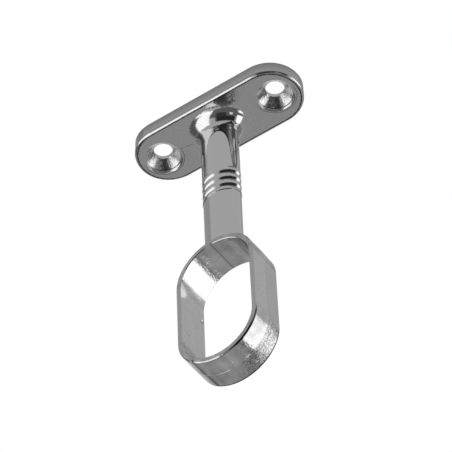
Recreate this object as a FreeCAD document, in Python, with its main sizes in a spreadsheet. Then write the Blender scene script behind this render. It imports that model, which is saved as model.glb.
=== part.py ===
"""Ceiling-fixed support bracket for an oval wardrobe or handrail tube.

One zinc die casting: a stadium-shaped screw plate, a stem of elliptical
section with a band of beads, and an open oval ring that the tube slides
through.

The origin is the middle of the plate's mounting face. +Z points up into the
surface that the plate is screwed to, X runs along the plate from screw to
screw, and Y runs along the tube.
"""
import FreeCAD, Part
import Sketcher
import math
import os
import re

from FreeCAD import Vector

BEAD_COUNT = 3

# name: (value in mm or degrees, what it sets)
SIZES = {
    "plate_length": (39.2, "screw plate, end to end"),
    "plate_width": (14.2, "screw plate, across; its ends are half circles"),
    "plate_thickness": (3.1, "screw plate, mounting face to lower face"),
    "plate_edge_radius": (0.5, "rounding of the lower outline"),
    "screw_inset": (5.6, "plate's end to the middle of the screw hole"),
    "screw_hole": (4.0, "through hole diameter"),
    "countersink": (7.9, "countersink diameter at the lower face"),
    "countersink_angle": (82, "full angle of the countersink, degrees"),
    "countersink_lip": (0.9, "rounding where the countersink meets the face"),
    "stem_width": (8.54, "stem along X, the long axis of its elliptical section"),
    "stem_thickness": (5.84, "stem along Y, the short axis"),
    "stem_step": (0.05, "how far the stem below the beads is set in, per side"),
    "foot_end_radius": (2.15, "ends of the oval section below the beads"),
    "foot_draft": (0.15, "taper of the stem below the beads, each side, degrees"),
    "stem_flare": (3.4, "radius of the flare under the plate"),
    "flare_land": (0.15, "least flat left round the flare"),
    "bead_drop": (20.64, "mounting face to the first valley between beads"),
    "bead_pitch": (2.0, "valley to valley"),
    "bead_depth": (0.4, "crest to valley"),
    "bead_rise": (0.06, "how far the crests stand out from the stem"),
    "bead_land": (0.36, "straight part below the last crest"),
    "bead_root": (1.2, "how far the swept beads reach into the stem"),
    "ring_drop": (57.2, "mounting face to the middle of the oval opening"),
    "opening_width": (16.0, "oval opening along X"),
    "opening_height": (30.6, "oval opening along Z"),
    "ring_wall": (1.16, "wall beside the flats, at mid depth"),
    "ring_crown": (1.28, "wall at the top and bottom, at mid depth"),
    "ring_depth": (8.0, "ring along the tube"),
    "ring_draft": (1.2, "mould draft of the outer wall, each way, degrees"),
    "ring_rim_break": (0.2, "chamfer round the outer rims"),
    "opening_edge_break": (0.12, "chamfer round the opening's edges"),
}

doc = FreeCAD.newDocument("RailBracket")
sheet = doc.addObject("Spreadsheet::Sheet", "Sizes")
for row, (name, (value, meaning)) in enumerate(SIZES.items(), start=1):
    sheet.set(f"A{row}", name)
    sheet.set(f"B{row}", str(value))
    sheet.set(f"C{row}", meaning)
    sheet.setAlias(f"B{row}", name)
doc.recompute()


def size(text):
    """Turn a formula in the sheet's words into one that names the sheet."""
    return re.sub(r"\b(?=[a-z]\w*\b(?!\())", "Sizes.", text)


def value_of(text):
    """The present value of a formula in the sheet's words."""
    return float(sheet.evalExpression(size(text)))


def bind(feature, prop, text):
    """Tie one property of a feature to the sheet."""
    feature.setExpression(prop, size(text))


def new_sketch(body, name, plane):
    """An empty sketch on one of the body's own origin planes."""
    sketch = body.newObject("Sketcher::SketchObject", name)
    face = next(f for f in body.Origin.OriginFeatures if f.Role == plane)
    sketch.AttachmentSupport = [(face, "")]
    sketch.MapMode = "FlatFace"
    return sketch


def constrain(sketch, text, kind, *where):
    """Add a dimension whose value follows the sheet."""
    index = sketch.addConstraint(Sketcher.Constraint(kind, *where, value_of(text)))
    bind(sketch, f"Constraints[{index}]", text)


def draw_slot(sketch, half_span, radius, middle, upright):
    """A stadium: two half circles of one radius, joined by two straight sides.

    half_span is the formula for half the distance between the half circles'
    centres, and middle the one for how far the whole lies below the origin.
    """
    span = value_of(half_span)
    r = value_of(radius)
    low = Vector(0, -value_of(middle), 0)
    along = Vector(0, 1, 0) if upright else Vector(1, 0, 0)
    side = Vector(-1, 0, 0) if upright else Vector(0, 1, 0)
    turn = math.pi / 2 if upright else 0

    def half_circle(sign, start):
        circle = Part.Circle(low + along * sign * span, Vector(0, 0, 1), r)
        return Part.ArcOfCircle(circle, start, start + math.pi)

    far = sketch.addGeometry(half_circle(1, turn - math.pi / 2))
    line_a = sketch.addGeometry(Part.LineSegment(low + along * span + side * r,
                                                 low - along * span + side * r))
    near = sketch.addGeometry(half_circle(-1, turn + math.pi / 2))
    line_b = sketch.addGeometry(Part.LineSegment(low - along * span - side * r,
                                                 low + along * span - side * r))
    for first, second in ((far, line_a), (line_a, near), (near, line_b), (line_b, far)):
        sketch.addConstraint(Sketcher.Constraint("Tangent", first, 2, second, 1))
    sketch.addConstraint(Sketcher.Constraint("Equal", far, near))
    constrain(sketch, radius, "Radius", far)
    if upright:
        sketch.addConstraint(Sketcher.Constraint("PointOnObject", far, 3, -2))
        sketch.addConstraint(Sketcher.Constraint("PointOnObject", near, 3, -2))
        constrain(sketch, f"{half_span} - ({middle})", "DistanceY", -1, 1, far, 3)
        constrain(sketch, f"-({half_span}) - ({middle})", "DistanceY", -1, 1, near, 3)
    else:
        sketch.addConstraint(Sketcher.Constraint("PointOnObject", far, 3, -1))
        sketch.addConstraint(Sketcher.Constraint("PointOnObject", near, 3, -1))
        constrain(sketch, half_span, "DistanceX", -1, 1, far, 3)
        constrain(sketch, f"-({half_span})", "DistanceX", -1, 1, near, 3)


def ellipse_sketch(body, name, half_x, half_y, drop):
    """A level ellipse about the Z axis, some way below the mounting face."""
    sketch = new_sketch(body, name, "XY_Plane")
    bind(sketch, "AttachmentOffset.Base.z", f"-({drop})")
    whole = Part.Ellipse(Vector(value_of(half_x), 0, 0), Vector(0, value_of(half_y), 0), Vector())
    ellipse = sketch.addGeometry(whole)
    sketch.exposeInternalGeometry(ellipse)
    long_axis, short_axis = ellipse + 1, ellipse + 2
    sketch.addConstraint(Sketcher.Constraint("Coincident", ellipse, 3, -1, 1))
    sketch.addConstraint(Sketcher.Constraint("Horizontal", long_axis))
    constrain(sketch, f"2 * ({half_x})", "Distance", long_axis)
    constrain(sketch, f"2 * ({half_y})", "Distance", short_axis)
    return sketch


def oval_sketch(body, name, half_x, half_y, end_radius, drop):
    """A level four-centre oval: two end arcs and two side arcs, all tangent."""
    sketch = new_sketch(body, name, "XY_Plane")
    bind(sketch, "AttachmentOffset.Base.z", f"-({drop})")
    end_x = f"({half_x} - {end_radius})"
    side_radius = (f"(({end_x} ^ 2 + ({half_y}) ^ 2 - {end_radius} ^ 2)"
                   f" / (2 * ({half_y} - {end_radius})))")
    reach = value_of(end_x)
    below = value_of(f"{side_radius} - ({half_y})")
    meet = math.atan2(below, reach)

    def arc(x, y, radius, start, stop):
        circle = Part.Circle(Vector(x, y, 0), Vector(0, 0, 1), value_of(radius))
        piece = sketch.addGeometry(Part.ArcOfCircle(circle, start, stop))
        constrain(sketch, radius, "Radius", piece)
        return piece

    right = arc(reach, 0, end_radius, -meet, meet)
    back = arc(0, -below, side_radius, meet, math.pi - meet)
    left = arc(-reach, 0, end_radius, math.pi - meet, math.pi + meet)
    front = arc(0, below, side_radius, math.pi + meet, 2 * math.pi - meet)
    for first, second in ((right, back), (back, left), (left, front), (front, right)):
        sketch.addConstraint(Sketcher.Constraint("Tangent", first, 2, second, 1))
    for piece, place in ((right, end_x), (left, f"-{end_x}")):
        sketch.addConstraint(Sketcher.Constraint("PointOnObject", piece, 3, -1))
        constrain(sketch, place, "DistanceX", -1, 1, piece, 3)
    return sketch


def pad_ellipse(body, name, half_x, half_y, top, bottom):
    """An upright bar of elliptical section between two drops below the origin."""
    bar = body.newObject("PartDesign::Pad", name)
    bar.Profile = ellipse_sketch(body, name + "Section", half_x, half_y, top)
    bar.Reversed = True
    bind(bar, "Length", f"{bottom} - ({top})")
    return bar


def draw_profile(sketch, corners, bends):
    """A closed outline through corners given as pairs of formulas.

    bends says which sides are arcs: the number of the side's first corner,
    with a formula for the radius and +1 for an arc that turns left along the
    outline or -1 for one that turns right.
    """
    points = [Vector(value_of(x), value_of(z), 0) for x, z in corners]
    count = len(points)
    ends = []
    for i, start in enumerate(points):
        stop = points[(i + 1) % count]
        if i not in bends:
            line = sketch.addGeometry(Part.LineSegment(start, stop))
            ends.append((line, 1, 2))
            continue
        text, turn = bends[i]
        r = value_of(text)
        chord = stop - start
        left = Vector(-chord.y, chord.x, 0).normalize() * turn
        centre = (start + stop) / 2 + left * math.sqrt(r * r - chord.Length ** 2 / 4)
        first, last = (start, stop) if turn > 0 else (stop, start)
        a = math.atan2(first.y - centre.y, first.x - centre.x)
        b = math.atan2(last.y - centre.y, last.x - centre.x)
        b += 2 * math.pi if b < a else 0
        arc = sketch.addGeometry(Part.ArcOfCircle(Part.Circle(centre, Vector(0, 0, 1), r), a, b))
        ends.append((arc, 1, 2) if turn > 0 else (arc, 2, 1))
        constrain(sketch, text, "Radius", arc)
    for i, (piece, head, tail) in enumerate(ends):
        following = ends[(i + 1) % count]
        sketch.addConstraint(Sketcher.Constraint("Coincident", piece, tail,
                                                 following[0], following[1]))
        x, z = corners[i]
        if x == "0":
            sketch.addConstraint(Sketcher.Constraint("PointOnObject", piece, head, -2))
        else:
            constrain(sketch, x, "DistanceX", -1, 1, piece, head)
        constrain(sketch, z, "DistanceY", -1, 1, piece, head)


def finish_edges(body, base, kind, name, amount, wanted):
    """Fillet or chamfer the edges of a feature that a test picks out."""
    doc.recompute()
    picked = [f"Edge{n}" for n, edge in enumerate(base.Shape.Edges, start=1) if wanted(edge)]
    feature = body.newObject("PartDesign::" + kind, name)
    feature.Base = (base, picked)
    bind(feature, "Radius" if kind == "Fillet" else "Size", amount)
    return feature


def lies_at(edge, axis, place):
    """True when the whole edge lies at one place along X, Y or Z."""
    box = edge.BoundBox
    lowest = (box.XMin, box.YMin, box.ZMin)[axis]
    highest = (box.XMax, box.YMax, box.ZMax)[axis]
    return abs(lowest - place) < 1e-3 and abs(highest - place) < 1e-3


body = doc.addObject("PartDesign::Body", "bracket_casting")
body.Label = "bracket_casting"

# The ring: an oval plate twice the half depth thick, drafted each way from
# the mould's parting line at mid depth.
half_width = "opening_width / 2 + ring_wall"
half_height = "opening_height / 2 + ring_crown"
ring_sketch = new_sketch(body, "RingOutline", "XZ_Plane")
draw_slot(ring_sketch, f"{half_height} - ({half_width})", half_width, "ring_drop", upright=True)
ring = body.newObject("PartDesign::Pad", "Ring")
ring.Profile = ring_sketch
ring.SideType = "Two sides"
for suffix in ("", "2"):
    bind(ring, "Length" + suffix, "ring_depth / 2")
    bind(ring, "TaperAngle" + suffix, "-ring_draft")
half_depth = value_of("ring_depth / 2")
ring_rims = finish_edges(
    body, ring, "Chamfer", "RingRims", "ring_rim_break",
    lambda edge: lies_at(edge, 1, half_depth) or lies_at(edge, 1, -half_depth))

# The stem: bars of elliptical section from inside the plate, of which the thin
# one carries the beads. The foot below the beads has a four-centre oval of the
# same size, tapers slightly and is later cut off by the opening's pocket.
half_x = "stem_width / 2"
half_y = "stem_thickness / 2"
first_crest = "bead_drop - bead_pitch / 2"
last_crest = f"bead_drop + {BEAD_COUNT - 0.5} * bead_pitch"
beads_end = f"{last_crest} + bead_land"
core_set_in = "(bead_root + bead_depth) / 2"
pad_ellipse(body, "StemTop", half_x, half_y, "plate_thickness / 2", first_crest)
pad_ellipse(body, "BeadCore", f"{half_x} - {core_set_in}", f"{half_y} - {core_set_in}",
            first_crest, beads_end)
foot = body.newObject("PartDesign::Pad", "StemFoot")
foot.Profile = oval_sketch(body, "FootSection", f"{half_x} - stem_step",
                           f"{half_y} - stem_step", "foot_end_radius", beads_end)
foot.Reversed = True
bind(foot, "Length", f"ring_drop - ({beads_end})")
bind(foot, "TaperAngle", "-foot_draft")

# The beads: one outline of equal arcs, swept round the stem's section.
valley_x = f"{half_x} + bead_rise - bead_depth"
bead_arc = "(bead_pitch * bead_pitch / 4 + bead_depth * bead_depth) / (2 * bead_depth)"
corners = [(f"{half_x} - bead_root", "bead_pitch - bead_drop")]
bends = {}
for valley in range(-1, BEAD_COUNT):
    bends[len(corners)] = (bead_arc, -1)
    corners.append((valley_x, f"-(bead_drop + {valley} * bead_pitch)"))
corners.append((f"{half_x} + bead_rise", f"-({last_crest})"))
corners.append((f"{half_x} + bead_rise", f"-({beads_end})"))
corners.append((f"{half_x} - bead_root", f"-({beads_end})"))
bead_sketch = new_sketch(body, "BeadProfile", "XZ_Plane")
draw_profile(bead_sketch, corners, bends)
beads = body.newObject("PartDesign::AdditivePipe", "Beads")
beads.Profile = bead_sketch
beads.Spine = (ellipse_sketch(body, "BeadPath", half_x, half_y, "bead_drop"), ["Edge1"])
beads.Mode = "Frenet"

# The oval opening through the ring, with its edges broken.
opening_sketch = new_sketch(body, "OpeningOutline", "XZ_Plane")
draw_slot(opening_sketch, "(opening_height - opening_width) / 2", "opening_width / 2",
          "ring_drop", upright=True)
opening = body.newObject("PartDesign::Pocket", "Opening")
opening.Profile = opening_sketch
opening.SideType = "Symmetric"
bind(opening, "Length", "2 * ring_depth")
opening_reach = value_of("opening_width / 2") + 0.01
opening_edges = finish_edges(
    body, opening, "Chamfer", "OpeningEdges", "opening_edge_break",
    lambda edge: (max(abs(edge.BoundBox.XMin), abs(edge.BoundBox.XMax)) < opening_reach
                  and (lies_at(edge, 1, half_depth) or lies_at(edge, 1, -half_depth))))

# The screw plate, from the mounting face down, with its lower edge rounded.
plate_sketch = new_sketch(body, "PlateOutline", "XY_Plane")
draw_slot(plate_sketch, "(plate_length - plate_width) / 2", "plate_width / 2", "0", upright=False)
plate = body.newObject("PartDesign::Pad", "Plate")
plate.Profile = plate_sketch
plate.Reversed = True
bind(plate, "Length", "plate_thickness")
plate_low = -value_of("plate_thickness")
flare_top = value_of(half_x) + 0.01
edge_room = f"plate_width / 2 - plate_edge_radius - {half_y} - flare_land"
sink_reach = "(countersink + countersink_lip) / 2"
sink_room = f"plate_length / 2 - screw_inset - {sink_reach} - {half_x} - flare_land"
flare_radius = f"min(stem_flare; {edge_room}; {sink_room})"
stem_flare = finish_edges(
    body, plate, "Fillet", "StemFlare", flare_radius,
    lambda edge: (lies_at(edge, 2, plate_low)
                  and max(abs(edge.BoundBox.XMin), abs(edge.BoundBox.YMin)) < flare_top))
outline_reach = value_of("plate_width / 2") - 0.01
plate_edge = finish_edges(
    body, stem_flare, "Fillet", "PlateEdge", "plate_edge_radius",
    lambda edge: (lies_at(edge, 2, plate_low)
                  and max(-edge.BoundBox.YMin, edge.BoundBox.YMax) > outline_reach))

# Two countersunk screw holes, sunk from the lower face.
hole_sketch = new_sketch(body, "ScrewPlaces", "XY_Plane")
hole_sketch.AttachmentOffset = FreeCAD.Placement(
    Vector(0, 0, plate_low), FreeCAD.Rotation(Vector(1, 0, 0), 180))
bind(hole_sketch, "AttachmentOffset.Base.z", "-plate_thickness")
for sign in (1, -1):
    spot = Vector(sign * value_of("plate_length / 2 - screw_inset"), 0, 0)
    circle = hole_sketch.addGeometry(Part.Circle(spot, Vector(0, 0, 1), value_of("screw_hole / 2")))
    hole_sketch.addConstraint(Sketcher.Constraint("PointOnObject", circle, 3, -1))
    constrain(hole_sketch, "screw_hole / 2", "Radius", circle)
    constrain(hole_sketch, f"{sign} * (plate_length / 2 - screw_inset)", "DistanceX",
              -1, 1, circle, 3)
doc.recompute()
holes = body.newObject("PartDesign::Hole", "ScrewHoles")
holes.Profile = hole_sketch
holes.DepthType = "ThroughAll"
holes.HoleCutType = "Countersink"
holes.HoleCutCustomValues = True
bind(holes, "Diameter", "screw_hole")
bind(holes, "HoleCutDiameter", "countersink")
bind(holes, "HoleCutCountersinkAngle", "countersink_angle")
countersink_radius = value_of("countersink / 2")
holes_lip = finish_edges(
    body, holes, "Fillet", "CountersinkLip", "countersink_lip",
    lambda edge: (lies_at(edge, 2, plate_low) and isinstance(edge.Curve, Part.Circle)
                  and abs(edge.Curve.Radius - countersink_radius) < 1e-3))

body.Tip = holes_lip
doc.recompute()

for item in doc.Objects:
    if "Invalid" in item.State or "Error" in item.State:
        raise RuntimeError(f"{item.Label} did not build: {item.State}")
if body.Shape.isNull() or not body.Shape.isValid() or len(body.Shape.Solids) != 1:
    raise RuntimeError(f"{body.Label} is not one valid solid")

os.makedirs("parts", exist_ok=True)
body.Shape.exportStep(f"parts/{body.Label}.step")
print(f"{body.Label}: {body.Shape.Volume:.1f} cubic mm, box {body.Shape.BoundBox}")
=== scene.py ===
import math

import bpy
import numpy as np
from mathutils import Matrix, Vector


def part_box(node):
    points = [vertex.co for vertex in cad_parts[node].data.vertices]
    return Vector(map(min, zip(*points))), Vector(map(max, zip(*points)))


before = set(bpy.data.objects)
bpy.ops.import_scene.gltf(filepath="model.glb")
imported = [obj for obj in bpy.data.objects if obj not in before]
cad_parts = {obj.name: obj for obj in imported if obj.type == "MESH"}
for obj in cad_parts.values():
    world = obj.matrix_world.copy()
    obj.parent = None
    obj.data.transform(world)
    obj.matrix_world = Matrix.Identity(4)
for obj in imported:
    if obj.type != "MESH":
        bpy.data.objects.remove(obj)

scene = bpy.context.scene
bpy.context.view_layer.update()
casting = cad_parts["bracket_casting"]
castingLow, castingHigh = (np.array(corner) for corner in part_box("bracket_casting"))

# ways for rays to meet the world and what they find there: paper is the white
# behind the bracket, evenLight what matt surfaces gather, dome what the chrome
# mirrors where no panel stands
worldSetup = {"paper": 1.0, "evenLight": 0.9, "dome": 0.58}

# what stands round the bracket, later panels in front of earlier ones: turn is
# the heading from +X towards +Y and lift the height over the horizon, both in
# degrees with half the panel's span after them, edge is how soft its rim is,
# and glow its brightness
studioPanels = {
    "highSide": {"turn": 84, "turnHalf": 22, "lift": 52, "liftHalf": 14, "edge": 12, "glow": 0.4},
    "highBack": {"turn": 131, "turnHalf": 18, "lift": 46, "liftHalf": 6, "edge": 5, "glow": 0.85},
    "highLeft": {"turn": -177, "turnHalf": 26, "lift": 36, "liftHalf": 26, "edge": 8, "glow": 0.4},
    "midLeft": {"turn": -167, "turnHalf": 11, "lift": 24, "liftHalf": 13, "edge": 5, "glow": 0.26},
    "sideWall": {"turn": 75, "turnHalf": 26, "lift": 0, "liftHalf": 14, "edge": 8, "glow": 0.42},
    "nearCloth": {"turn": -30, "turnHalf": 82, "lift": -62, "liftHalf": 34, "edge": 4, "glow": 0.16},
    "farCloth": {"turn": 112, "turnHalf": 62, "lift": -52, "liftHalf": 46, "edge": 8, "glow": 0.39},
    "sideCloth": {"turn": -178, "turnHalf": 16, "lift": -28, "liftHalf": 34, "edge": 6, "glow": 0.13},
    "backCloth": {"turn": 150, "turnHalf": 16, "lift": 6, "liftHalf": 10, "edge": 5, "glow": 0.26},
    "backStrip": {"turn": 119, "turnHalf": 9, "lift": 5, "liftHalf": 23, "edge": 5, "glow": 1.3},
    "cameraFlag": {"turn": -46, "turnHalf": 46, "lift": -11, "liftHalf": 19, "edge": 6, "glow": 0.03},
    "darkGap": {"turn": -70, "turnHalf": 19, "lift": -39, "liftHalf": 13, "edge": 5, "glow": 0.045},
    "lightGap": {"turn": -25, "turnHalf": 10, "lift": -45, "liftHalf": 5, "edge": 3, "glow": 1.1},
    "leftSoftbox": {"turn": -135, "turnHalf": 23, "lift": -29, "liftHalf": 38, "edge": 4, "glow": 1.62},
    "lowSoftbox": {"turn": -152, "turnHalf": 36, "lift": -65, "liftHalf": 5, "edge": 2, "glow": 1.7},
    "rightSoftbox": {"turn": 29, "turnHalf": 18, "lift": -9, "liftHalf": 28, "edge": 5, "glow": 1.8},
    "lowGlow": {"turn": 40, "turnHalf": 12, "lift": -57, "liftHalf": 6, "edge": 3, "glow": 1.6},
}


def place(tree, kind, **settings):
    node = tree.nodes.new(kind)
    for word, value in settings.items():
        setattr(node, word, value)
    return node


def feed(tree, socket, value):
    # a number is set on the socket, an output is linked to it
    if isinstance(value, bpy.types.NodeSocket):
        tree.links.new(value, socket)
    else:
        socket.default_value = value


def maths(tree, operation, *values):
    node = place(tree, "ShaderNodeMath", operation=operation)
    for socket, value in zip(node.inputs, values):
        feed(tree, socket, value)
    return node.outputs["Value"]


def allOf(tree, *values):
    # the product, which for masks is where they all hold
    result = values[0]
    for value in values[1:]:
        result = maths(tree, "MULTIPLY", result, value)
    return result


def inverse(tree, mask):
    return maths(tree, "SUBTRACT", 1.0, mask)


def ramp(tree, value, low, high):
    # smooth step from 0 at low to 1 at high, which may be the smaller one
    node = place(tree, "ShaderNodeMapRange", interpolation_type="SMOOTHSTEP")
    for word, given in (("Value", value), ("From Min", low), ("From Max", high)):
        feed(tree, node.inputs[word], given)
    return node.outputs["Result"]


def mixed(tree, share, under, over):
    node = place(tree, "ShaderNodeMix", data_type="FLOAT")
    for word, given in (("Factor", share), ("A", under), ("B", over)):
        feed(tree, node.inputs[word], given)
    return node.outputs["Result"]


def startGroup(name, wants, gives):
    group = bpy.data.node_groups.new(name, "ShaderNodeTree")
    for word, kind in wants.items():
        group.interface.new_socket(word, in_out="INPUT", socket_type=kind)
    for word, kind in gives.items():
        group.interface.new_socket(word, in_out="OUTPUT", socket_type=kind)
    return group, place(group, "NodeGroupInput"), place(group, "NodeGroupOutput")


def useGroup(tree, group, **values):
    node = place(tree, "ShaderNodeGroup", node_tree=group)
    for word, value in values.items():
        feed(tree, node.inputs[word], value)
    return node


# a soft-edged patch of the world round the bracket
def panelMaskGroup():
    wants = {"Direction": "NodeSocketVector"}
    wants.update({word: "NodeSocketFloat" for word in ("Turn", "TurnHalf", "Lift", "LiftHalf", "Edge")})
    group, given, result = startGroup("panelMask", wants, {"Mask": "NodeSocketFloat"})
    parts = place(group, "ShaderNodeSeparateXYZ")
    group.links.new(given.outputs["Direction"], parts.inputs["Vector"])
    x, y, z = (parts.outputs[axis] for axis in "XYZ")
    turn = maths(group, "DEGREES", maths(group, "ARCTAN2", y, x))
    lift = maths(group, "DEGREES", maths(group, "ARCSINE", z))
    # headings meet again at half a turn, so their difference is wrapped
    aside = maths(group, "WRAP", maths(group, "SUBTRACT", turn, given.outputs["Turn"]), 180.0, -180.0)
    above = maths(group, "SUBTRACT", lift, given.outputs["Lift"])
    masks = []
    for offset, half in ((aside, "TurnHalf"), (above, "LiftHalf")):
        outside = maths(group, "ADD", given.outputs[half], given.outputs["Edge"])
        inside = maths(group, "SUBTRACT", given.outputs[half], given.outputs["Edge"])
        masks.append(ramp(group, maths(group, "ABSOLUTE", offset), outside, inside))
    group.links.new(allOf(group, *masks), result.inputs["Mask"])
    return group


def addWorld(setup, panels):
    world = bpy.data.worlds.new("studio")
    scene.world = world
    world.use_nodes = True
    tree = world.node_tree
    tree.nodes.clear()
    panelMask = panelMaskGroup()
    heading = place(tree, "ShaderNodeTexCoord").outputs["Generated"]
    glow = setup["dome"]
    for panel in panels.values():
        mask = useGroup(tree, panelMask, Direction=heading, Turn=panel["turn"], TurnHalf=panel["turnHalf"],
                        Lift=panel["lift"], LiftHalf=panel["liftHalf"], Edge=panel["edge"])
        glow = mixed(tree, mask.outputs["Mask"], glow, panel["glow"])
    shades = {}
    for word, level in (("evenLight", setup["evenLight"]), ("mirrored", glow), ("paper", setup["paper"])):
        shades[word] = place(tree, "ShaderNodeBackground")
        shades[word].inputs["Color"].default_value = (1, 1, 1, 1)
        feed(tree, shades[word].inputs["Strength"], level)
    path = place(tree, "ShaderNodeLightPath")
    mirrorRay = maths(tree, "MAXIMUM", path.outputs["Is Glossy Ray"], path.outputs["Is Transmission Ray"])
    inMirror = place(tree, "ShaderNodeMixShader")
    behind = place(tree, "ShaderNodeMixShader")
    for mixer, factor, first, second in (
            (inMirror, mirrorRay, shades["evenLight"], shades["mirrored"]),
            (behind, path.outputs["Is Camera Ray"], inMirror, shades["paper"])):
        tree.links.new(factor, mixer.inputs["Fac"])
        tree.links.new(first.outputs[0], mixer.inputs[1])
        tree.links.new(second.outputs[0], mixer.inputs[2])
    tree.links.new(behind.outputs[0], place(tree, "ShaderNodeOutputWorld").inputs["Surface"])


# floor: metres below the ring, side length, colour
floorSetup = {"drop": 1.1, "side": 12.0, "colour": (0.86, 0.86, 0.85, 1), "roughness": 0.9}


def addFloor(setup):
    # a level grid: x and y run over the side length, z stays
    across = np.linspace(-setup["side"] / 2, setup["side"] / 2, 9)
    x, y = np.meshgrid(across, across)
    z = np.full_like(x, castingLow[2] - setup["drop"])
    index = np.arange(x.size).reshape(x.shape)
    quads = np.stack([index[:-1, :-1], index[:-1, 1:], index[1:, 1:], index[1:, :-1]], axis=-1)
    mesh = bpy.data.meshes.new("floor")
    mesh.from_pydata(np.stack([x, y, z], axis=-1).reshape(-1, 3).tolist(), [], quads.reshape(-1, 4).tolist())
    floor = bpy.data.objects.new("floor", mesh)
    paint = bpy.data.materials.new("floorPaint")
    paint.use_nodes = True
    shader = paint.node_tree.nodes["Principled BSDF"]
    shader.inputs["Base Color"].default_value = setup["colour"]
    shader.inputs["Roughness"].default_value = setup["roughness"]
    mesh.materials.append(paint)
    floor.visible_glossy = False  # the chrome mirrors the cloths instead
    scene.collection.objects.link(floor)


# lamps: turn and lift in degrees as above, metres away, side in metres, watts
lampSetup = {
    "keyLamp": {"turn": -138, "lift": 35, "away": 1.2, "side": 0.8, "watts": 6.0},
    "fillLamp": {"turn": 28, "lift": 30, "away": 1.2, "side": 0.6, "watts": 3.0},
}


def addLamp(name, setup):
    turn, lift = math.radians(setup["turn"]), math.radians(setup["lift"])
    outward = np.array([math.cos(lift) * math.cos(turn), math.cos(lift) * math.sin(turn), math.sin(lift)])
    side = np.array([-math.sin(turn), math.cos(turn), 0.0])
    data = bpy.data.lights.new(name, "AREA")
    data.size, data.energy = setup["side"], setup["watts"]
    lamp = bpy.data.objects.new(name, data)
    # a lamp shines along its own -Z, so its +Z points away from the bracket
    turned = Matrix(np.column_stack([side, np.cross(outward, side), outward]).tolist()).to_4x4()
    middle = (castingLow + castingHigh) / 2
    lamp.matrix_world = Matrix.Translation((middle + setup["away"] * outward).tolist()) @ turned
    lamp.visible_camera = False
    lamp.visible_glossy = False
    scene.collection.objects.link(lamp)


# camera: metres and radians; yaw turns from +Y towards -X, pitch looks up
cameraSetup = {"place": (0.21398, -0.33003, -0.47403), "yaw": 0.574, "pitch": 0.842, "roll": -0.047,
               "lens": 238.56, "sensor": 36.0, "near": 0.01}


def addCamera(setup):
    # the line of sight from yaw and pitch, then both side directions turned
    # about it by the roll
    yaw, pitch, roll = setup["yaw"], setup["pitch"], setup["roll"]
    forward = np.array([-math.sin(yaw) * math.cos(pitch), math.cos(yaw) * math.cos(pitch), math.sin(pitch)])
    right = np.array([math.cos(yaw), math.sin(yaw), 0.0])
    up = np.cross(right, forward)
    rolledRight = math.cos(roll) * right + math.sin(roll) * up
    rolledUp = math.cos(roll) * up - math.sin(roll) * right
    data = bpy.data.cameras.new("viewCamera")
    data.lens, data.sensor_width, data.clip_start = setup["lens"], setup["sensor"], setup["near"]
    camera = bpy.data.objects.new("viewCamera", data)
    turned = Matrix(np.column_stack([rolledRight, rolledUp, -forward]).tolist()).to_4x4()
    camera.matrix_world = Matrix.Translation(setup["place"]) @ turned
    scene.collection.objects.link(camera)
    scene.camera = camera


# the chrome's zones are told apart by distances in the bracket's own frame, in
# metres: from the middle line of the plate, which runs plateHalf either way, from
# the screw holes, holeOut either way from the stem, from the ring's middle line,
# ringHalf up and down from its centre, and from two fine lines that slant
spanSetup = {
    "plateHalf": 0.0125, "holeOut": 0.014, "ringCentre": -0.0572, "ringHalf": 0.0073,
    "partingSlope": 0.13, "partingShift": 0.00125, "footSlope": -0.09,
}
# zones with one side: the distance they are read from, where they start and
# where they are fully there
sideSetup = {
    "plate": ("z", -0.0034, -0.0032),
    "underside": ("z", -0.0024, -0.0026),
    "flank": ("outline", 0.00698, 0.00706),
    "rim": ("outline", 0.0066, 0.0067),
    "lip": ("hole", 0.00446, 0.00436),
    "cone": ("hole", 0.00378, 0.00368),
    "holeBack": ("y", -0.0015, 0.0015),
    "ring": ("z", -0.0405, -0.0408),
    "skin": ("skin", 0.0086, 0.0087),
    "lining": ("skin", 0.0086, 0.0085),
    "flats": ("fromCentre", 0.0083, 0.0063),
    "faces": ("depth", 0.00385, 0.00395),
    "roof": ("z", -0.0572, -0.0552),
    "lowRing": ("z", -0.0645, -0.0665),
    "rightRing": ("x", 0.003, 0.0045),
    "patchLow": ("z", -0.0645, -0.066),
    "patchBack": ("y", 0.0, 0.0002),
    "patchRight": ("x", 0.0005, 0.004),
}
# zones with two sides: the distance, both sides, and half the width they fade over
bandSetup = {
    "stemAcross": ("x", -0.0078, 0.0078, 0.0004),
    "stemDeep": ("y", -0.0066, 0.0066, 0.0004),
    "stemTall": ("z", -0.0405, -0.00325, 0.0001),
    "stemUpper": ("z", -0.0196, -0.0072, 0.0004),
    "stemFoot": ("z", -0.0405, -0.0263, 0.0002),
    "seam": ("y", -0.00011, 0.00011, 0.00011),
    "burr": ("hole", 0.00418, 0.00418, 0.00014),
    "parting": ("x", -0.0095, -0.0062, 0.0002),
}
# roughness of each zone, and how much of the plating's grain it shows; later
# zones lie over earlier ones
finishSetup = {
    "ring": {"roughness": 0.08, "grain": 1.2},
    "back": {"roughness": 0.2, "grain": 3.0},
    "plate": {"roughness": 0.12, "grain": 0.8},
    "rim": {"roughness": 0.08, "grain": 0.25},
    "stem": {"roughness": 0.05, "grain": 0.5},
    "buffed": {"roughness": 0.04, "grain": 0.03},
    "lip": {"roughness": 0.07, "grain": 0.5},
    "cone": {"roughness": 0.2, "grain": 1.8},
}
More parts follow.
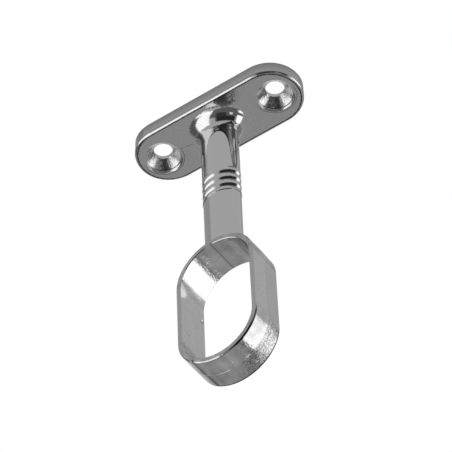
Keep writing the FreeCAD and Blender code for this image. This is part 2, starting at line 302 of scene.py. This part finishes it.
# sizes and heights of the bumps in metres, and shares of the colour
surfaceSetup = {
    "colour": (0.58, 0.58, 0.583, 1),
    "grainSize": 0.00034, "grainHeight": 0.00003, "grainDetail": 2.0,
    "waveSize": 0.0042, "waveHeight": 0.00005, "waveDetail": 3.0,
    "drawSize": 0.0021, "drawLength": 0.05, "drawHeight": 0.00006, "drawDetail": 2.0,
    "seamHeight": 0.00003, "burrHeight": 0.00003,
    "cloudRough": 1.0, "leastRough": 0.5,
    "patchFrom": 0.38, "patchTo": 0.62, "patchGrain": 0.9, "leastGrain": 0.4,
    "flatGrain": 0.15, "faceGrain": 0.3,
    # the streak share paints the draw marks' light and dark streaks of reflection into the ring's colour
    "paintedStreak": 0.8, "mottle": 0.4, "clouding": 1.0,
    "backSpecks": 0.45, "speckFrom": 0.58, "speckTo": 0.42,
    # where the grain breaks gaps into the painted shade lines
    "gapsFrom": 0.5, "gapsTo": 0.4,
    # the rim shares paint shade on the plate's flank, darkest towards the wall; the face share darkens the ring's
    # faces
    "rimHeight": 0.0031, "flankShadeTop": 0.48, "flankShadeBottom": 0.86, "faceDarker": 0.2,
}
# dark fine lines painted into the colour, all but the last painted shade on the
# plate's edges, round the holes and on the ring, the last along the parting line:
# the distance they are read from, its value on the line, half the line's width and
# its softness in metres, how dark it is, how much the grain breaks it, and which
# zones it keeps to
shadeAndPartingLineSetup = [
    {"span": "outline", "at": 0.00653, "half": 0.00016, "soft": 0.00004, "dark": 0.92, "broken": 0.45,
     "zones": ("underside",)},
    {"span": "z", "at": -0.0027, "half": 0.0001, "soft": 0.00005, "dark": 0.55, "broken": 0.3,
     "zones": ("flank",)},
    {"span": "hole", "at": 0.00438, "half": 0.00007, "soft": 0.00005, "dark": 0.8, "broken": 0.5,
     "zones": ("underside", "holeBack")},
    {"span": "hole", "at": 0.00362, "half": 0.00007, "soft": 0.00004, "dark": 0.8, "broken": 0.6,
     "zones": ("underside", "holeBack")},
    {"span": "depth", "at": 0.00376, "half": 0.00006, "soft": 0.00004, "dark": 0.7, "broken": 0.4,
     "zones": ("outerRing", "lowRing")},
    {"span": "y", "at": 0.00372, "half": 0.00018, "soft": 0.00005, "dark": 0.85, "broken": 0.3,
     "zones": ("outerRing", "lowRing")},
    {"span": "y", "at": -0.00378, "half": 0.00016, "soft": 0.00004, "dark": 0.92, "broken": 0.15,
     "zones": ("outerRing", "lowRing", "rightRing")},
    {"span": "footLine", "at": -0.00542, "half": 0.0002, "soft": 0.00012, "dark": 0.85, "broken": 0.3,
     "zones": ("outerRing", "lowRing")},
    {"span": "x", "at": -0.0006, "half": 0.00012, "soft": 0.0002, "dark": 0.6, "broken": 0.3,
     "zones": ("innerRing", "roof")},
    {"span": "partingLine", "at": 0.0, "half": 0.00007, "soft": 0.00004, "dark": 0.5, "broken": 0.5,
     "zones": ("underside", "parting")},
]
# small dents and burrs: place and radius in metres, height out of the surface
nickSetup = [
    {"place": (-0.0080, 0.0031, -0.0532), "radius": 0.0007, "height": -0.0003},
    {"place": (-0.0003, -0.0002, -0.0738), "radius": 0.00035, "height": 0.0001},
    {"place": (0.0015, -0.0013, -0.0736), "radius": 0.0003, "height": 0.0001},
    {"place": (0.00915, 0.0004, -0.0590), "radius": 0.0003, "height": 0.00008},
]


def stretchGroup():
    # 1 where a value lies between Low and High, with rims Edge wide
    wants = {word: "NodeSocketFloat" for word in ("Value", "Low", "High", "Edge")}
    group, given, result = startGroup("stretch", wants, {"Mask": "NodeSocketFloat"})
    value, low, high, edge = (given.outputs[word] for word in ("Value", "Low", "High", "Edge"))
    rises = ramp(group, value, maths(group, "SUBTRACT", low, edge), maths(group, "ADD", low, edge))
    falls = ramp(group, value, maths(group, "ADD", high, edge), maths(group, "SUBTRACT", high, edge))
    group.links.new(allOf(group, rises, falls), result.inputs["Mask"])
    return group


def within(tree, stretch, value, low, high, edge):
    return useGroup(tree, stretch, Value=value, Low=low, High=high, Edge=edge).outputs["Mask"]


def slotReachGroup():
    # distance from the middle line of a slot, which runs Half either way along it:
    # root of the square beyond its end plus the square across it
    wants = {word: "NodeSocketFloat" for word in ("Along", "Half", "Across")}
    group, given, result = startGroup("slotReach", wants, {"Reach": "NodeSocketFloat"})
    along, half, across = (given.outputs[word] for word in ("Along", "Half", "Across"))
    beyond = maths(group, "SUBTRACT", maths(group, "ABSOLUTE", along), half)
    beyond = maths(group, "MAXIMUM", beyond, 0.0)
    squares = maths(group, "ADD", allOf(group, beyond, beyond), allOf(group, across, across))
    group.links.new(maths(group, "SQRT", squares), result.inputs["Reach"])
    return group


def noiseAt(tree, vector, size, detail):
    noise = place(tree, "ShaderNodeTexNoise", noise_dimensions="3D")
    noise.inputs["Scale"].default_value = 1 / size
    noise.inputs["Detail"].default_value = detail
    tree.links.new(vector, noise.inputs["Vector"])
    return noise.outputs["Fac"]


def swing(tree, noise, width):
    # a noise between 0 and 1, made to swing width about 0
    return maths(tree, "MULTIPLY_ADD", noise, width, -width / 2)


def chromeSpans(tree, spot, setup):
    parts = place(tree, "ShaderNodeSeparateXYZ")
    tree.links.new(spot, parts.inputs["Vector"])
    x, y, z = (parts.outputs[axis] for axis in "XYZ")
    slotReach = slotReachGroup()
    overCentre = maths(tree, "SUBTRACT", z, setup["ringCentre"])
    fromHole = maths(tree, "SUBTRACT", maths(tree, "ABSOLUTE", x), setup["holeOut"])
    slots = {"outline": (x, setup["plateHalf"], y), "hole": (fromHole, 0.0, y),
             "skin": (overCentre, setup["ringHalf"], x)}
    spans = {name: useGroup(tree, slotReach, Along=along, Half=half, Across=across).outputs["Reach"]
             for name, (along, half, across) in slots.items()}
    partingAt = maths(tree, "MULTIPLY_ADD", x, setup["partingSlope"], setup["partingShift"])
    spans.update({"x": x, "y": y, "z": z, "depth": maths(tree, "ABSOLUTE", y),
                  "fromCentre": maths(tree, "ABSOLUTE", overCentre),
                  "partingLine": maths(tree, "SUBTRACT", y, partingAt),
                  "footLine": maths(tree, "MULTIPLY_ADD", y, setup["footSlope"], x)})
    return spans


def chromeZones(tree, spans, stretch, sides, bands):
    zones = {name: ramp(tree, spans[span], start, full) for name, (span, start, full) in sides.items()}
    for name, (span, low, high, edge) in bands.items():
        zones[name] = within(tree, stretch, spans[span], low, high, edge)
    for name in ("underside", "flank", "rim", "lip", "cone"):
        zones[name] = allOf(tree, zones["plate"], zones[name])
    zones["outerRing"] = allOf(tree, zones["skin"], zones["ring"])
    zones["innerRing"] = allOf(tree, zones["ring"], zones["lining"])
    zones["flats"] = allOf(tree, zones["ring"], zones["flats"])
    zones["bends"] = allOf(tree, zones["ring"], inverse(tree, zones["flats"]))
    zones["faces"] = allOf(tree, zones["ring"], zones["faces"])
    zones["back"] = allOf(tree, zones["outerRing"], zones["patchLow"], zones["patchBack"], zones["patchRight"])
    stemBox = allOf(tree, zones["stemAcross"], zones["stemDeep"])
    zones["stem"] = allOf(tree, stemBox, zones["stemTall"])
    zones["buffed"] = allOf(tree, stemBox, maths(tree, "MAXIMUM", zones["stemUpper"], zones["stemFoot"]))
    zones["seam"] = allOf(tree, zones["seam"], zones["outerRing"])
    zones["burr"] = allOf(tree, zones["burr"], zones["underside"])
    return zones


def chromeNoises(tree, spot, surface):
    # the draw marks of the mould run along Y, so Y is squeezed before the noise
    squeezed = place(tree, "ShaderNodeVectorMath", operation="MULTIPLY")
    tree.links.new(spot, squeezed.inputs[0])
    squeezed.inputs[1].default_value = (1, surface["drawSize"] / surface["drawLength"], 1)
    return {"cloud": noiseAt(tree, spot, surface["waveSize"], surface["waveDetail"]),
            "speck": noiseAt(tree, spot, surface["grainSize"], surface["grainDetail"]),
            "draw": noiseAt(tree, squeezed.outputs["Vector"], surface["drawSize"], surface["drawDetail"])}


def graded(tree, zones, finish, quality):
    # the ring's value, with each later zone's laid over it
    value = finish["ring"][quality]
    for zone in list(finish)[1:]:
        value = mixed(tree, zones[zone], value, finish[zone][quality])
    return value


def chromeHeight(tree, spot, zones, noises, finish, surface, nicks):
    # grain in patches, weaker on the ring's flats and faces, slow waves, draw
    # marks on its bends, the seam round its outside, burrs round the screw
    # holes, and the nicks
    patches = ramp(tree, noises["cloud"], surface["patchFrom"], surface["patchTo"])
    patches = maths(tree, "MULTIPLY_ADD", patches, surface["patchGrain"], surface["leastGrain"])
    for zone, share in (("flats", "flatGrain"), ("faces", "faceGrain")):
        patches = allOf(tree, patches, maths(tree, "MULTIPLY_ADD", zones[zone], surface[share] - 1, 1.0))
    grainShare = graded(tree, zones, finish, "grain")
    bumps = [allOf(tree, noises["speck"], surface["grainHeight"], grainShare, patches),
             allOf(tree, noises["cloud"], surface["waveHeight"], grainShare),
             allOf(tree, noises["draw"], surface["drawHeight"], zones["bends"]),
             allOf(tree, zones["seam"], surface["seamHeight"]),
             allOf(tree, zones["burr"], surface["burrHeight"])]
    for nick in nicks:
        away = place(tree, "ShaderNodeVectorMath", operation="DISTANCE")
        tree.links.new(spot, away.inputs[0])
        away.inputs[1].default_value = nick["place"]
        bumps.append(allOf(tree, ramp(tree, away.outputs["Value"], nick["radius"], 0.0), nick["height"]))
    height = bumps[0]
    for bump in bumps[1:]:
        height = maths(tree, "ADD", height, bump)
    return height


def chromeShade(tree, spans, zones, noises, stretch, surface, shadeAndPartingLines):
    # streaks along the ring's draw painted in as their streaky reflection, mottles off
    # the buffed stem, specks on the ring's back, darker ring faces, the dark lines of
    # painted shade and the parting line broken by the grain, and painted shade on the
    # plate's flank that darkens it towards the wall
    # painted reflection: the draw marks' light and dark streaks are painted into the ring's colour
    paintedDrawStreaks = maths(tree, "ADD", 1.0, allOf(tree, zones["bends"], swing(tree, noises["draw"], surface["paintedStreak"])))
    clouds = allOf(tree, swing(tree, noises["cloud"], surface["clouding"]), zones["bends"])
    mottles = maths(tree, "ADD", swing(tree, noises["speck"], surface["mottle"]), clouds)
    mottles = maths(tree, "ADD", 1.0, allOf(tree, inverse(tree, zones["buffed"]), mottles))
    specks = ramp(tree, noises["speck"], surface["speckFrom"], surface["speckTo"])
    specks = allOf(tree, zones["back"], specks, surface["backSpecks"])
    # the ring's flat faces are made darker
    faces = maths(tree, "MULTIPLY_ADD", zones["faces"], -surface["faceDarker"], 1.0)
    shade = allOf(tree, paintedDrawStreaks, mottles, inverse(tree, specks), faces)
    # the dark lines below are painted shade, except the parting line, and the grain breaks them
    lineGaps = ramp(tree, noises["speck"], surface["gapsFrom"], surface["gapsTo"])
    for darkLine in shadeAndPartingLines:
        line = within(tree, stretch, spans[darkLine["span"]], darkLine["at"] - darkLine["half"],
                      darkLine["at"] + darkLine["half"], darkLine["soft"])
        kept = maths(tree, "MULTIPLY_ADD", lineGaps, -darkLine["broken"], 1.0)
        line = allOf(tree, line, kept, darkLine["dark"], *(zones[zone] for zone in darkLine["zones"]))
        shade = allOf(tree, shade, inverse(tree, line))
    # painted shade: the plate's flank is made darker towards the wall
    rimShare = maths(tree, "DIVIDE", spans["z"], -surface["rimHeight"])
    paintedFlankShade = mixed(tree, rimShare, surface["flankShadeTop"], surface["flankShadeBottom"])
    return allOf(tree, shade, mixed(tree, zones["flank"], 1.0, paintedFlankShade))


def chromeMaterial(spanSizes, sides, bands, finish, surface, shadeAndPartingLines, nicks):
    material = bpy.data.materials.new("brightChrome")
    material.use_nodes = True
    tree = material.node_tree
    shader = tree.nodes["Principled BSDF"]
    shader.inputs["Metallic"].default_value = 1.0
    spot = place(tree, "ShaderNodeTexCoord").outputs["Object"]
    stretch = stretchGroup()
    spans = chromeSpans(tree, spot, spanSizes)
    zones = chromeZones(tree, spans, stretch, sides, bands)
    noises = chromeNoises(tree, spot, surface)

    # roughness: the zone's own, up to half more or less in clouds
    clouds = maths(tree, "MULTIPLY_ADD", noises["cloud"], surface["cloudRough"], surface["leastRough"])
    tree.links.new(allOf(tree, graded(tree, zones, finish, "roughness"), clouds), shader.inputs["Roughness"])

    bump = place(tree, "ShaderNodeBump")
    bump.inputs["Strength"].default_value = 1.0
    bump.inputs["Distance"].default_value = 1.0
    tree.links.new(chromeHeight(tree, spot, zones, noises, finish, surface, nicks), bump.inputs["Height"])
    tree.links.new(bump.outputs["Normal"], shader.inputs["Normal"])

    tint = place(tree, "ShaderNodeMix", data_type="RGBA", blend_type="MULTIPLY")
    tint.inputs["Factor"].default_value = 1.0
    tint.inputs["A"].default_value = surface["colour"]
    tree.links.new(chromeShade(tree, spans, zones, noises, stretch, surface, shadeAndPartingLines), tint.inputs["B"])
    tree.links.new(tint.outputs["Result"], shader.inputs["Base Color"])
    return material


addCamera(cameraSetup)
print("camera placed")
addWorld(worldSetup, studioPanels)
addFloor(floorSetup)
for lampName, lampValues in lampSetup.items():
    addLamp(lampName, lampValues)
print("studio lit")
chrome = chromeMaterial(spanSetup, sideSetup, bandSetup, finishSetup, surfaceSetup, shadeAndPartingLineSetup, nickSetup)
for materialSlot in casting.material_slots:
    materialSlot.material = chrome
print("chrome on")

scene.view_settings.view_transform = "Standard"
